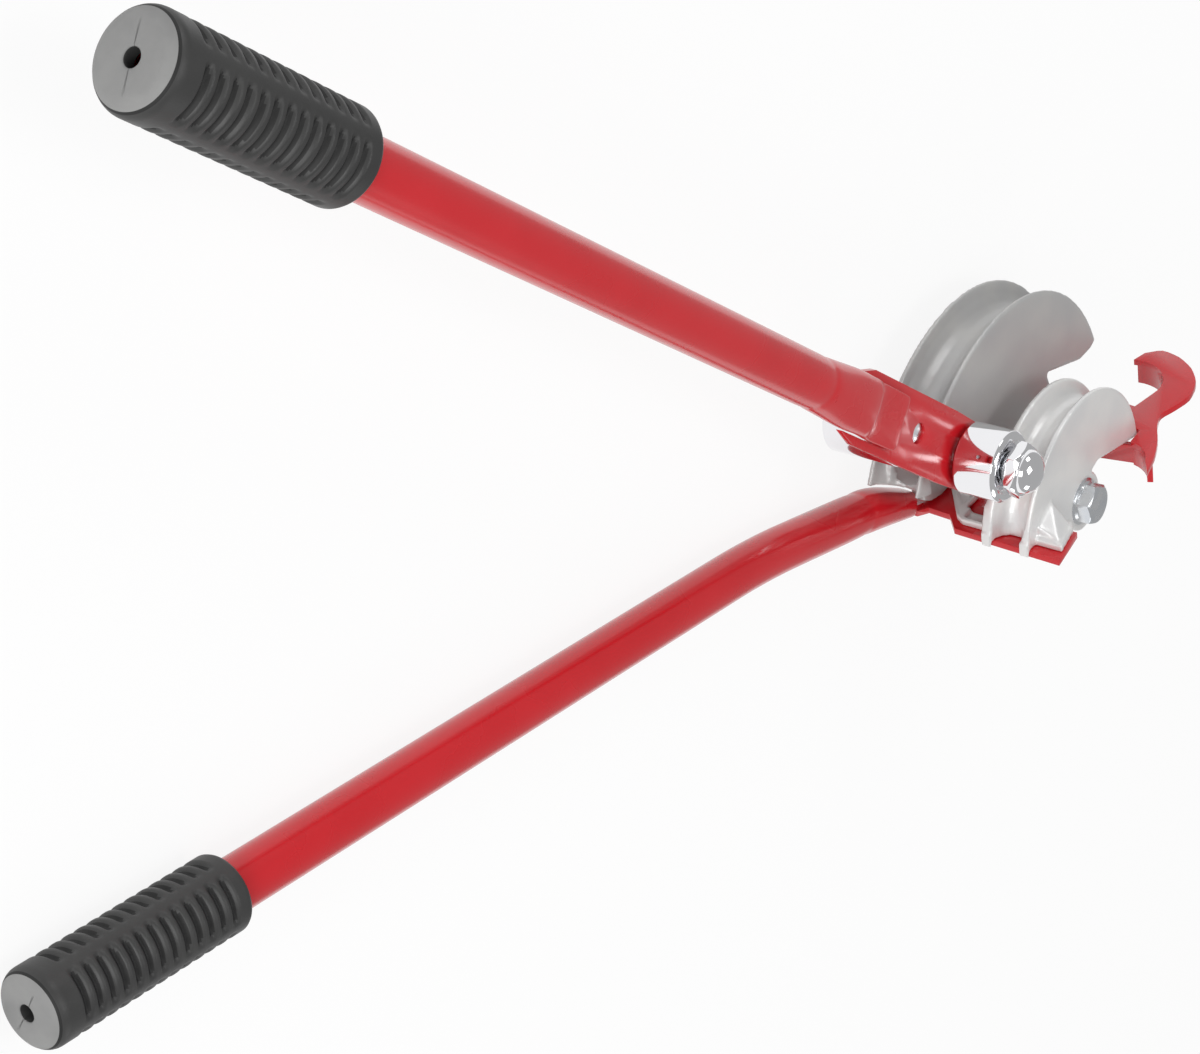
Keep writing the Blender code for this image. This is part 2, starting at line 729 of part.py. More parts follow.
def loft(name, rings, sides=24):
    # Each ring is its middle, side and up directions, half sizes and squareness.
    mesh = bpy.data.meshes.new(name)
    shape = bmesh.new()
    rows = []
    for middle, side, up, half_side, half_up, squareness in rings:
        row = []
        for step in range(sides):
            turn = 2 * math.pi * step / sides
            across = math.copysign(abs(math.cos(turn)) ** (2 / squareness), math.cos(turn))
            above = math.copysign(abs(math.sin(turn)) ** (2 / squareness), math.sin(turn))
            row.append(shape.verts.new(middle + side * half_side * across + up * half_up * above))
        rows.append(row)
    for low, high in zip(rows, rows[1:]):
        for step in range(sides):
            follow = (step + 1) % sides
            shape.faces.new((low[step], low[follow], high[follow], high[step]))
    shape.faces.new(list(reversed(rows[0])))
    shape.faces.new(rows[-1])
    bmesh.ops.recalc_face_normals(shape, faces=shape.faces)
    shape.to_mesh(mesh)
    shape.free()
    return mesh_object(name, mesh)


def moving_handle(axis):
    lowest = arm_front + fit_gap
    stage = (arm_end_x - arm_slot_x) / 4
    end_x = moving_grip_end_x - grip_end_wall - fit_gap
    wide = moving_r + arm_slot_clear - running_gap
    stations = [(moving_flat_x, wide, flat_half, lowest + flat_half, 5.0),
                (arm_slot_x - fit_gap, wide, flat_half, lowest + flat_half, 4.0),
                (arm_slot_x + stage, wide, 0.42 * moving_r, lowest + 0.36 * moving_r, 2.6),
                (arm_slot_x + 2 * stage, wide, 0.72 * moving_r, moving_z + 0.1 * moving_r, 2.3),
                (arm_slot_x + 3 * stage, moving_r, 0.9 * moving_r, moving_z, 2.0),
                (arm_end_x, moving_r, moving_r, moving_z, 2.0),
                (arm_end_x + 3 * stage, 0.97 * moving_r, 0.93 * moving_r, moving_z, 2.0),
                (arm_end_x + 4 * stage, moving_r, moving_r, moving_z, 2.0),
                (end_x, moving_r, moving_r, moving_z, 2.0)]
    side = Vector((0.0, 1.0, 0.0))
    up = Vector((0.0, 0.0, 1.0))
    rings = [(Vector((x, 0.0, z)), side, up, half_side, half_up, squareness)
             for x, half_side, half_up, z, squareness in stations]
    tube = loft("moving_handle_tube", rings)
    place(tube, axis, (0.0, 0.0, 0.0))
    hollow = cylinder("moving_hollow", moving_r - tube_wall, arm_end_x + 5 * stage,
                      end_x + overrun, 24)
    place(hollow, axis, (0.0, 0.0, moving_z), (0.0, math.pi / 2, 0.0))
    boolean(tube, hollow)
    finish(tube, red_paint)
    handle_grip("moving_handle_grip", axis, (moving_grip_x, 0.0, moving_z), moving_grip_length,
                moving_grip_r, moving_r)


# Shares of the tongue's length, the end's drop, and the tube's radius sideways and
# upwards, with how square the ring is.
fixed_end_shares = [(0.3, 0.80, 0.80, 0.70, 2.8), (0.6, 0.58, 0.88, 0.79, 2.4),
                    (1.0, 0.27, 0.96, 0.90, 2.1), (1.5, 0.03, 1.0, 1.0, 2.0),
                    (1.8, 0.0, 0.97, 0.94, 2.0), (2.1, 0.0, 1.0, 1.0, 2.0)]


def fixed_handle():
    rise = math.radians(180.0 - fixed_rise)
    line = math.radians(fixed_line)
    first = Vector((math.cos(rise), math.sin(rise), 0.0))
    second = Vector((math.cos(line), math.sin(line), 0.0))
    root = Vector((-tongue_root, plate_top - plate_thick / 2 + fixed_line_up, fixed_z))
    corner = root + first * fixed_stretch
    end = corner + second * (fixed_length - grip_end_wall - fit_gap)
    across = Vector((0.0, 0.0, 1.0))
    rings = []
    down = across.cross(first)
    rings.append((root + first * fixed_end_start + down * fixed_end_drop, across, down,
                  fixed_end_half, fixed_end_up, 3.0))
    for reach_share, drop_share, side_share, up_share, squareness in fixed_end_shares:
        middle = root + first * reach_share * tongue_length + down * drop_share * fixed_end_drop
        rings.append((middle, across, down, side_share * fixed_r, up_share * fixed_r, squareness))
    for step in range(5):
        share = step / 4
        start = corner - first * bend_half
        finish_point = corner + second * bend_half
        point = (start * (1 - share) ** 2 + corner * 2 * share * (1 - share)
                 + finish_point * share ** 2)
        heading = (first * (1 - share) + second * share).normalized()
        rings.append((point, across, across.cross(heading), fixed_r, fixed_r, 2.0))
    rings.append((end, across, across.cross(second), fixed_r, fixed_r, 2.0))
    tube = loft("fixed_handle_tube", rings)
    socket = block("tongue_socket",
                   (-overrun, -plate_thick / 2 - fit_gap, -tongue_width / 2 - fit_gap),
                   (tongue_length + fit_gap, plate_thick / 2 + fit_gap,
                    tongue_width / 2 + fit_gap))
    place(socket, None, tongue_spot(), (0.0, 0.0, rise))
    boolean(tube, socket)
    axis = bpy.data.objects.new("fixed_handle_line", None)
    parts_box.objects.link(axis)
    place(axis, None, corner, (0.0, 0.0, line))
    hollow = cylinder("fixed_hollow", fixed_r - tube_wall, bend_half + tube_wall,
                      fixed_length + overrun, 24)
    place(hollow, axis, (0.0, 0.0, 0.0), (0.0, math.pi / 2, 0.0))
    boolean(tube, hollow)
    finish(tube, red_paint)
    handle_grip("fixed_handle_grip", axis, (fixed_length - fixed_grip_length, 0.0, 0.0),
                fixed_grip_length, fixed_grip_r, fixed_r)


# Ribbed grips, turned about the handle's line

def handle_grip(name, axis, location, length, outer_r, tube_r):
    bore_r = tube_r + fit_gap
    rounding = arc(outer_r - grip_end_round, length - grip_end_round, grip_end_round, 90.0, 0.0, 4)
    profile = [(grip_hole_r, length)] + rounding
    first_rib = grip_collar + rib_pitch / 2
    ribs = int((length - grip_end_round - 2 * grip_collar) / rib_pitch)
    for number in reversed(range(ribs)):
        start = first_rib + number * rib_pitch
        profile += [(outer_r, start + 0.80 * rib_pitch), (outer_r - rib_depth, start + 0.55 * rib_pitch),
                    (outer_r - rib_depth, start + 0.25 * rib_pitch)]
    profile += [(outer_r, grip_collar), (outer_r, 0.0), (bore_r, 0.0),
                (bore_r, length - grip_end_wall), (grip_hole_r, length - grip_end_wall)]
    grip = turned(name, profile, 18, closed=True)
    place(grip, axis, location, (0.0, math.pi / 2, 0.0))
    return finish(grip, black_rubber)


def build():
    base_plate()
    large_former()
    small_former()
    former_screws()
    pivot_hardware()
    fixed_handle()
    axis = bpy.data.objects.new("arm_axis", None)
    parts_box.objects.link(axis)
    place(axis, None, (0.0, 0.0, 0.0), (0.0, 0.0, math.radians(arm_angle)))
    arm_bracket(axis)
    small_roller_set(axis)
    large_roller_set(axis)
    moving_handle(axis)
    bpy.context.view_layer.update()


build()
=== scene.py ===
import bpy
import math
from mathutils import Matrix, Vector


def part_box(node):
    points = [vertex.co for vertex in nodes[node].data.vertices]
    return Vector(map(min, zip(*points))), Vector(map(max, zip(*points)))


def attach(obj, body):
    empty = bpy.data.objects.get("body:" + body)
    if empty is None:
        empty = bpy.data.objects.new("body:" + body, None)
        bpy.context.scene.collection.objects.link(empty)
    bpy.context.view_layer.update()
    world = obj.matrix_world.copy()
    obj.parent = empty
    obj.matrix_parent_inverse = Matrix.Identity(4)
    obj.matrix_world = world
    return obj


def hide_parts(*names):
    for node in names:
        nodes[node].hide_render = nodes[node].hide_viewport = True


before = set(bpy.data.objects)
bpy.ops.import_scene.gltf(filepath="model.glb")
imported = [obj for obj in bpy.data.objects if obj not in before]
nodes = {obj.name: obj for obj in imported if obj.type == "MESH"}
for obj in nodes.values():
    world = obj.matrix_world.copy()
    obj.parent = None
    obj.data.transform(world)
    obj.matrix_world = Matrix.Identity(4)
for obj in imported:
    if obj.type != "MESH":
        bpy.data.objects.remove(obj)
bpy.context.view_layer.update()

print("Frame loaded:", len(nodes), "solids")

meshing = {
    "solidWeld": 0.00002,    # how close points of a CAD solid are merged
    "pulledWeld": 0.000002,
    "flatAngle": 0.5,        # degrees under which two faces count as one
    "turnedSides": 96,
}


def deselectAll():
    if bpy.context.object and bpy.context.object.mode != "OBJECT":
        bpy.ops.object.mode_set(mode="OBJECT")
    bpy.ops.object.select_all(action="DESELECT")


def makeActive(piece):
    deselectAll()
    piece.hide_viewport = False
    piece.select_set(True)
    bpy.context.view_layer.objects.active = piece


def applyModifier(piece, modifier):
    makeActive(piece)
    bpy.ops.object.modifier_apply(modifier=modifier.name)


def applyPlace(piece):
    makeActive(piece)
    bpy.ops.object.transform_apply(location=True, rotation=True, scale=True)


def smoothByAngle(piece, degrees):
    makeActive(piece)
    bpy.ops.object.shade_smooth_by_angle(angle=math.radians(degrees))


def roundEdges(piece, shape):
    # a narrow bevel on the sharp edges, then smooth shading between them
    bevel = piece.modifiers.new("edges", "BEVEL")
    bevel.width = shape["rounding"]
    bevel.segments = shape["segments"]
    bevel.limit_method = "ANGLE"
    bevel.angle_limit = math.radians(shape["bevelAngle"])
    bevel.use_clamp_overlap = True
    applyModifier(piece, bevel)
    smoothByAngle(piece, shape["smoothAngle"])


def joinShapes(piece, other, operation):
    join = piece.modifiers.new("join", "BOOLEAN")
    join.operation = operation
    join.solver = "EXACT"
    join.object = other
    applyModifier(piece, join)
    bpy.data.objects.remove(other, do_unlink=True)


def turnFacesOut():
    # for the active piece in edit mode, which is left in object mode
    bpy.ops.mesh.select_all(action="SELECT")
    bpy.ops.mesh.normals_make_consistent(inside=False)
    bpy.ops.object.mode_set(mode="OBJECT")


def blockPiece(name, corners):
    # a cube with its eight corners moved, listed by x, then y, then z, the low ones first
    deselectAll()
    bpy.ops.mesh.primitive_cube_add(size=2, location=(0, 0, 0))
    piece = bpy.context.object
    piece.name = name
    for vertex in piece.data.vertices:
        index = 4 * (vertex.co.x > 0) + 2 * (vertex.co.y > 0) + (vertex.co.z > 0)
        vertex.co = corners[index]
    bpy.ops.object.mode_set(mode="EDIT")
    turnFacesOut()
    return piece


def flatPiece(name, outline, low, high):
    # a flat outline in x and y, pulled up from low to high
    deselectAll()
    bpy.ops.mesh.primitive_circle_add(vertices=len(outline), radius=1, fill_type="NGON",
                                      location=(0, 0, 0))
    piece = bpy.context.object
    piece.name = name
    for vertex, (x, y) in zip(piece.data.vertices, outline):
        vertex.co = (x, y, low)
    bpy.ops.object.mode_set(mode="EDIT")
    bpy.ops.mesh.select_all(action="SELECT")
    bpy.ops.mesh.extrude_region_move(TRANSFORM_OT_translate={"value": (0, 0, high - low)})
    turnFacesOut()
    return piece


def solidBox(name):
    low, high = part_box(name)
    return Vector(low), Vector(high)


def copyOfSolid(solidName, pieceName):
    # a welded copy of a CAD solid, to be worked on further
    source = nodes[solidName]
    piece = bpy.data.objects.new(pieceName, source.data.copy())
    bpy.context.scene.collection.objects.link(piece)
    makeActive(piece)
    bpy.ops.object.mode_set(mode="EDIT")
    bpy.ops.mesh.select_all(action="SELECT")
    bpy.ops.mesh.remove_doubles(threshold=meshing["solidWeld"])
    bpy.ops.mesh.dissolve_limited(angle_limit=math.radians(meshing["flatAngle"]))
    bpy.ops.object.mode_set(mode="OBJECT")
    return piece


def dress(piece, material, body, slotName, *solids):
    piece.data.materials.clear()
    piece.data.materials.append(material)
    if solids:
        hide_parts(*solids)
    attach(piece, body)
    return piece


def pulledPiece(name, sides, ringCount, pointAt):
    # a circle extruded into a straight tube, then every point set by its ring and its turn
    deselectAll()
    bpy.ops.mesh.primitive_circle_add(vertices=sides, radius=1, location=(0, 0, 0))
    piece = bpy.context.object
    piece.name = name
    bpy.ops.object.mode_set(mode="EDIT")
    bpy.ops.mesh.select_all(action="SELECT")
    for ring in range(1, ringCount):
        bpy.ops.mesh.extrude_region_move(TRANSFORM_OT_translate={"value": (0, 0, 1)})
    bpy.ops.object.mode_set(mode="OBJECT")
    for vertex in piece.data.vertices:
        turn = math.atan2(vertex.co.y, vertex.co.x)
        vertex.co = pointAt(round(vertex.co.z), turn)
    bpy.ops.object.mode_set(mode="EDIT")
    bpy.ops.mesh.select_all(action="SELECT")
    bpy.ops.mesh.remove_doubles(threshold=meshing["pulledWeld"])
    turnFacesOut()
    return piece


def turnedPiece(name, centre, profile, sides=meshing["turnedSides"]):
    # a profile of (radius, height) turned about the upright line through centre
    def pointAt(ring, turn):
        radius, height = profile[ring]
        return Vector((centre.x + radius * math.cos(turn), centre.y + radius * math.sin(turn), height))

    return pulledPiece(name, sides, len(profile), pointAt)


# how far the turned barrel comes inside the flats, past the corners and past the ends
hexShape = {"faceShare": 0.97, "cornerShare": 1.01, "spare": 0.0003}


def hexPiece(name, centre, flats, bottom, top, chamfer, turn):
    # a hexagon whose corners are turned off at both ends
    deselectAll()
    corner = flats / math.sqrt(3)
    bpy.ops.mesh.primitive_cylinder_add(vertices=6, radius=corner, depth=top - bottom,
                                        location=(centre.x, centre.y, (bottom + top) / 2),
                                        rotation=(0, 0, turn))
    piece = bpy.context.object
    piece.name = name
    applyPlace(piece)
    face, full = flats / 2 * hexShape["faceShare"], corner * hexShape["cornerShare"]
    spare = hexShape["spare"]
    barrel = turnedPiece("barrel", centre, [(0, bottom - spare), (face, bottom - spare), (face, bottom),
                                            (full, bottom + chamfer), (full, top - chamfer), (face, top),
                                            (face, top + spare), (0, top + spare)])
    joinShapes(piece, barrel, "INTERSECT")
    return piece


# the part of a noise, from nought to one, over which roughness and colour change
noiseReach = {"rangeLow": 0.3, "rangeHigh": 0.7, "tintLow": 0.35, "tintHigh": 0.65}


def newFinish(name, colour, roughness, metallic):
    material = bpy.data.materials.new(name)
    material.use_nodes = True
    tree = material.node_tree
    shader = tree.nodes["Principled BSDF"]
    shader.inputs["Base Color"].default_value = (*colour, 1)
    shader.inputs["Roughness"].default_value = roughness
    shader.inputs["Metallic"].default_value = metallic
    return material, tree, shader


def addNoise(tree, scale, detail):
    coords = tree.nodes.new("ShaderNodeTexCoord")
    noise = tree.nodes.new("ShaderNodeTexNoise")
    noise.inputs["Scale"].default_value = scale
    noise.inputs["Detail"].default_value = detail
    tree.links.new(coords.outputs["Object"], noise.inputs["Vector"])
    return noise


def addBump(tree, noise, shader, strength, distance):
    bump = tree.nodes.new("ShaderNodeBump")
    bump.inputs["Strength"].default_value = strength
    bump.inputs["Distance"].default_value = distance
    tree.links.new(noise.outputs["Fac"], bump.inputs["Height"])
    tree.links.new(bump.outputs["Normal"], shader.inputs["Normal"])


def addRange(tree, noise, shader, low, high):
    spread = tree.nodes.new("ShaderNodeMapRange")
    spread.inputs["From Min"].default_value = noiseReach["rangeLow"]
    spread.inputs["From Max"].default_value = noiseReach["rangeHigh"]
    spread.inputs["To Min"].default_value = low
    spread.inputs["To Max"].default_value = high
    tree.links.new(noise.outputs["Fac"], spread.inputs["Value"])
    tree.links.new(spread.outputs["Result"], shader.inputs["Roughness"])


def addTint(tree, noise, shader, first, second):
    ramp = tree.nodes.new("ShaderNodeValToRGB")
    ramp.color_ramp.elements[0].position = noiseReach["tintLow"]
    ramp.color_ramp.elements[1].position = noiseReach["tintHigh"]
    ramp.color_ramp.elements[0].color = (*first, 1)
    ramp.color_ramp.elements[1].color = (*second, 1)
    tree.links.new(noise.outputs["Fac"], ramp.inputs["Fac"])
    tree.links.new(ramp.outputs["Color"], shader.inputs["Base Color"])


def mixFinish(name, look):
    # a fine grain raises the surface, and a slow cloud varies its colour and roughness
    material, tree, shader = newFinish(name, look["colour"], look["roughness"], look["metallic"])
    for socket, value in look.get("sockets", {}).items():
        shader.inputs[socket].default_value = value
    if "grain" in look:
        scale, detail, strength, distance = look["grain"]
        addBump(tree, addNoise(tree, scale, detail), shader, strength, distance)
    cloud = addNoise(tree, *look["cloud"])
    if "tints" in look:
        addTint(tree, cloud, shader, *look["tints"])
    addRange(tree, cloud, shader, *look["roughnessRange"])
    return material


enamelLook = {
    "colour": (0.55, 0.008, 0.014),
    "roughness": 0.28,
    "metallic": 0,
    "sockets": {"Specular IOR Level": 0.35, "Coat Weight": 0.4, "Coat Roughness": 0.12},
    "grain": (260, 3, 0.06, 0.0004),   # scale, detail, strength, height
    "cloud": (22, 4),                  # scale, detail
    "tints": ((0.53, 0.006, 0.012), (0.57, 0.008, 0.015)),
    "roughnessRange": (0.24, 0.32),
}
chromeLook = {
    "colour": (0.88, 0.88, 0.90),
    "roughness": 0.06,
    "metallic": 1,
    "cloud": (60, 4),
    "roughnessRange": (0.04, 0.09),
}
zincLook = {
    "colour": (0.72, 0.74, 0.77),
    "roughness": 0.26,
    "metallic": 1,
    "grain": (500, 3, 0.12, 0.0002),
    "cloud": (80, 4),
    "tints": ((0.66, 0.69, 0.73), (0.78, 0.79, 0.80)),
    "roughnessRange": (0.20, 0.34),
}


def castLook(shade, roughness):
    return {
        "colour": (shade, shade, shade * 0.99),
        "roughness": roughness,
        "metallic": 0.4,
        "grain": (900, 4, 0.16, 0.0003),
        "cloud": (45, 5),
        "tints": ((shade * 0.94,) * 3, (shade * 1.03, shade * 1.02, shade)),
        "roughnessRange": (roughness - 0.05, roughness + 0.06),
    }


def rubberLook(shade, roughness):
    return {
        "colour": (shade,) * 3,
        "roughness": roughness,
        "metallic": 0,
        "grain": (1500, 3, 0.2, 0.0002),
        "cloud": (35, 4),
        "tints": ((shade * 0.85,) * 3, (shade * 1.2, shade * 1.2, shade * 1.18)),
        "roughnessRange": (roughness - 0.06, roughness + 0.08),
    }


enamel = mixFinish("redEnamel", enamelLook)
smallCast = mixFinish("smallCastAluminium", castLook(0.80, 0.38))
largeCast = mixFinish("largeCastAluminium", castLook(0.52, 0.42))
chromePlate = mixFinish("brightChrome", chromeLook)
zinc = mixFinish("zincPlate", zincLook)
rubber = mixFinish("blackRubber", rubberLook(0.030, 0.46))
# near-black rubber for the bottoms of the grooves: painted shade
rubberPaintedGrooveShade = mixFinish("rubberPaintedGrooveShade", rubberLook(0.008, 0.6))
# paler rubber for the grips' end faces: painted light, for the lamp light falling on them
rubberPaintedLitEnd = mixFinish("rubberPaintedLitEndFace", rubberLook(0.22, 0.6))
print("Finishes mixed")

# the plate and the arm keep their solids' shape, with soft edges
pressedPieces = {"rounding": 0.0007, "segments": 2, "bevelAngle": 28, "smoothAngle": 40}

for solid, name, body in (("base_plate", "basePlate", "frame"), ("arm_bracket", "armBracket", "arm")):
    piece = copyOfSolid(solid, name)
    roundEdges(piece, pressedPieces)
    dress(piece, enamel, body, "red_paint", solid)
print("Pressed steel done")

castSkin = {
    "largeVoxel": 0.0009,
    "smallVoxel": 0.0007,
    "softenFactor": 0.5,
    "softenRounds": 6,
    "smoothAngle": 60,
}

smallBlocks = {
    "backing": (  # metal behind the face, where the front screw's hole comes near it
        (-0.0383, 0.0065, 0.0789), (-0.0383, 0.0065, 0.08015), (-0.0383, 0.0190, 0.0789),
        (-0.0383, 0.0190, 0.08015), (-0.0335, 0.0065, 0.0789), (-0.0335, 0.0065, 0.08015),
        (-0.0335, 0.0190, 0.0789), (-0.0335, 0.0190, 0.08015)),
    "gusset": (  # slopes from the small former's face down to the tray's front rim
        (-0.0431, 0.0068, 0.0790), (-0.0431, 0.0068, 0.0905), (-0.0431, 0.0156, 0.0790),
        (-0.0431, 0.0098, 0.0905), (-0.0300, 0.0068, 0.0790), (-0.0300, 0.0068, 0.0895),
        (-0.0295, 0.0215, 0.0790), (-0.0300, 0.0098, 0.0895)),
    "backFoot": (
        (-0.0479, 0.0208, 0.0562), (-0.0479, 0.0208, 0.0600), (-0.0433, 0.0292, 0.0586),
        (-0.0433, 0.0292, 0.0600), (-0.0423, 0.0184, 0.0562), (-0.0423, 0.0184, 0.0600),
        (-0.0382, 0.0258, 0.0586), (-0.0382, 0.0258, 0.0600)),
    "frontFoot": (
        (-0.0519, 0.0066, 0.0752), (-0.0519, 0.0066, 0.0790), (-0.0490, 0.0178, 0.0772),
        (-0.0490, 0.0178, 0.0790), (-0.0466, 0.0066, 0.0752), (-0.0466, 0.0066, 0.0790),
        (-0.0442, 0.0161, 0.0772), (-0.0442, 0.0161, 0.0790)),
    "backToe": (
        (-0.0524, 0.0034, 0.0564), (-0.0524, 0.0034, 0.0612), (-0.0519, 0.0100, 0.0564),
        (-0.0519, 0.0100, 0.0612), (-0.05115, 0.0034, 0.0564), (-0.05115, 0.0034, 0.0612),
        (-0.0500, 0.0100, 0.0564), (-0.0500, 0.0100, 0.0612)),
    "frontToe": (
        (-0.0524, 0.0034, 0.0752), (-0.0524, 0.0034, 0.0799), (-0.0519, 0.0100, 0.0752),
        (-0.0519, 0.0100, 0.0799), (-0.05115, 0.0034, 0.0752), (-0.05115, 0.0034, 0.0799),
        (-0.0500, 0.0100, 0.0752), (-0.0500, 0.0100, 0.0799)),
}

largeWeb = {
    "outline": (  # in x and y, from the back flange down to the plate
        (-0.0700, 0.0385), (-0.0499, 0.0236), (-0.0444, 0.0205), (-0.0443, 0.0130), (-0.0380, 0.0088),
        (-0.0300, 0.0068), (-0.0210, 0.0068), (-0.0210, 0.0300), (-0.0480, 0.0620), (-0.0640, 0.0580)),
    "low": 0.0171,
    "high": 0.0240,
}


def castPiece(solid, name, voxel, additions, material):
    # the solid with what is cast on, all under one soft skin
    piece = copyOfSolid(solid, name)
    for addition in additions:
        joinShapes(piece, addition, "UNION")
    remesh = piece.modifiers.new("skin", "REMESH")
    remesh.mode = "VOXEL"
    remesh.voxel_size = voxel
    applyModifier(piece, remesh)
    soften = piece.modifiers.new("soften", "SMOOTH")
    soften.factor = castSkin["softenFactor"]
    soften.iterations = castSkin["softenRounds"]
    applyModifier(piece, soften)
    smoothByAngle(piece, castSkin["smoothAngle"])
    dress(piece, material, "frame", "cast_aluminium", solid)


web = flatPiece("largeWeb", largeWeb["outline"], largeWeb["low"], largeWeb["high"])
castPiece("large_former", "largeFormer", castSkin["largeVoxel"], [web], largeCast)
blocks = [blockPiece(part, corners) for part, corners in smallBlocks.items()]
castPiece("small_former", "smallFormer", castSkin["smallVoxel"], blocks, smallCast)
print("Castings done")

armTurn = math.radians(136.0)   # as in the photo, from the plate's line
armLine = Vector((math.cos(armTurn), math.sin(armTurn), 0))
armSide = Vector((-math.sin(armTurn), math.cos(armTurn), 0))
upLine = Vector((0, 0, 1))

# both handles are pulled along their lines, from the flattened end to the open one
tubeShape = {"sides": 32, "smoothLevels": 2, "smoothAngle": 50, "lip": 0.004}

movingTube = {
    "radius": 0.011,
    "onArm": 0.0539,   # underside of the flattened end
    "hollow": 0.0092,
    "hollowDepth": 0.050,
    "stations": [      # along the arm, half width, half height, middle above the arm, squareness
        (0.1458, 0.0100, 0.0013, 0.0016, 5), (0.1466, 0.0116, 0.0018, 0.0019, 6),
        (0.1500, 0.0120, 0.0019, 0.0019, 6), (0.1590, 0.0121, 0.0019, 0.0019, 5),
        (0.1680, 0.0122, 0.0019, 0.0019, 5), (0.1730, 0.0122, 0.0021, 0.0021, 4.6),
        (0.1765, 0.0122, 0.0029, 0.0028, 3.8), (0.1800, 0.0122, 0.0046, 0.0039, 3),
        (0.1836, 0.0122, 0.0064, 0.0044, 2.6), (0.1860, 0.0122, 0.0066, 0.0044, 2.5),
        (0.1890, 0.0123, 0.0074, 0.0042, 2.3), (0.1980, 0.0127, 0.0087, 0.0036, 2.1),
        (0.2100, 0.0119, 0.0099, 0.0029, 2), (0.2210, 0.0113, 0.0108, 0.0024, 2),
        (0.2250, 0.0111, 0.0110, 0.0022, 2), (0.2275, 0.0108, 0.0106, 0.0022, 2),
        (0.2310, 0.0110, 0.0110, 0.0022, 2), (0.2400, 0.0110, 0.0110, 0.0022, 2),
        (0.3500, 0.0110, 0.0110, 0.0022, 2), (0.5000, 0.0110, 0.0110, 0.0022, 2),
    ],
    "end": 0.6295,
}

fixedTube = {
    "root": Vector((-0.0442, 0.0154, 0.0147)),
    "rise": 19.62,      # degrees above the plate's line, as far as the bend
    "line": 166.34,     # heading in degrees past the bend
    "stretch": 0.1237,  # from the root to the bend's corner
    "bendHalf": 0.024,
    "radius": 0.010,
    "hollow": 0.0082,
    "hollowDepth": 0.050,
    "stations": [      # along the tube, half width, half height, lift, squareness
        (0.0015, 0.0066, 0.0058, -0.0046, 3.4), (0.0020, 0.0072, 0.0064, -0.0046, 3.4),
        (0.0040, 0.0076, 0.0066, -0.0043, 3), (0.0080, 0.0082, 0.0071, -0.0036, 2.7),
        (0.0144, 0.0089, 0.0079, -0.0027, 2.4), (0.0240, 0.0097, 0.0091, -0.0012, 2.1),
        (0.0340, 0.0100, 0.0099, -0.0002, 2), (0.0410, 0.0100, 0.0100, 0, 2),
        (0.0440, 0.0096, 0.0094, 0, 2), (0.0480, 0.0100, 0.0100, 0, 2),
        (0.0750, 0.0100, 0.0100, 0, 2),
    ],
    "bendSteps": 8,
    "farStation": 0.35,
    "end": 0.5320,
}


def tubeEnds(shape, stations):
    # closes the flattened end, and adds the open hollow end inside the grip
    first = (stations[0][0], 0, 0, stations[0][3], 2)
    lift = stations[-1][3]
    outer, inner, end = shape["radius"], shape["hollow"], shape["end"]
    deep = end - shape["hollowDepth"]
    last = [(end - tubeShape["lip"], outer, outer, lift, 2), (end, outer, outer, lift, 2),
            (end, inner, inner, lift, 2), (deep, inner, inner, lift, 2), (deep, 0, 0, lift, 2)]
    return [first] + stations + last


def squarePoint(turn, squareness):
    # a circle where squareness is two, and nearer a square where it is more
    across = math.copysign(abs(math.cos(turn)) ** (2 / squareness), math.cos(turn))
    above = math.copysign(abs(math.sin(turn)) ** (2 / squareness), math.sin(turn))
    return across, above


def tubePiece(name, shape, stations, toWorld):
    rows = tubeEnds(shape, stations)

    def pointAt(ring, turn):
        along, halfWide, halfHigh, lift, squareness = rows[ring]
        across, above = squarePoint(turn, squareness)
        return toWorld(along, across * halfWide, above * halfHigh + lift)

    piece = pulledPiece(name, tubeShape["sides"], len(rows), pointAt)
    smooth = piece.modifiers.new("smooth", "SUBSURF")
    smooth.levels = tubeShape["smoothLevels"]
    smooth.render_levels = tubeShape["smoothLevels"]
    applyModifier(piece, smooth)
    smoothByAngle(piece, tubeShape["smoothAngle"])
    return piece


def movingPoint(along, across, height):
    return armLine * along + armSide * across + upLine * (movingTube["onArm"] + height)


def fixedPoint(along, across, height):
    # straight, a short bend, and straight again
    rise = math.radians(180 - fixedTube["rise"])
    line = math.radians(fixedTube["line"])
    first = Vector((math.cos(rise), math.sin(rise), 0))
    second = Vector((math.cos(line), math.sin(line), 0))
    corner = fixedTube["root"] + first * fixedTube["stretch"]
    half = fixedTube["bendHalf"]
    past = (along - fixedTube["stretch"] + half) / (2 * half)
    share = min(max(past, 0), 1)
    if past <= 0:
        middle = fixedTube["root"] + first * along
    elif past >= 1:
        middle = corner + second * (along - fixedTube["stretch"])
    else:
        middle = corner - first * half * (1 - share) ** 2 + second * half * share ** 2
    heading = (first * (1 - share) + second * share).normalized()
    return middle + upLine * across + heading.cross(upLine) * height


tube = tubePiece("movingHandleTube", movingTube, movingTube["stations"], movingPoint)
dress(tube, enamel, "arm", "red_paint", "moving_handle_tube")

bendStart = fixedTube["stretch"] - fixedTube["bendHalf"]
roundStations = [bendStart + 2 * fixedTube["bendHalf"] * step / fixedTube["bendSteps"]
                 for step in range(fixedTube["bendSteps"] + 1)]
roundStations.append(fixedTube["farStation"])
stations = fixedTube["stations"] + [(along, fixedTube["radius"], fixedTube["radius"], 0, 2)
                                    for along in roundStations]
tube = tubePiece("fixedHandleTube", fixedTube, stations, fixedPoint)
dress(tube, enamel, "frame", "red_paint", "fixed_handle_tube")
print("Handle tubes done")


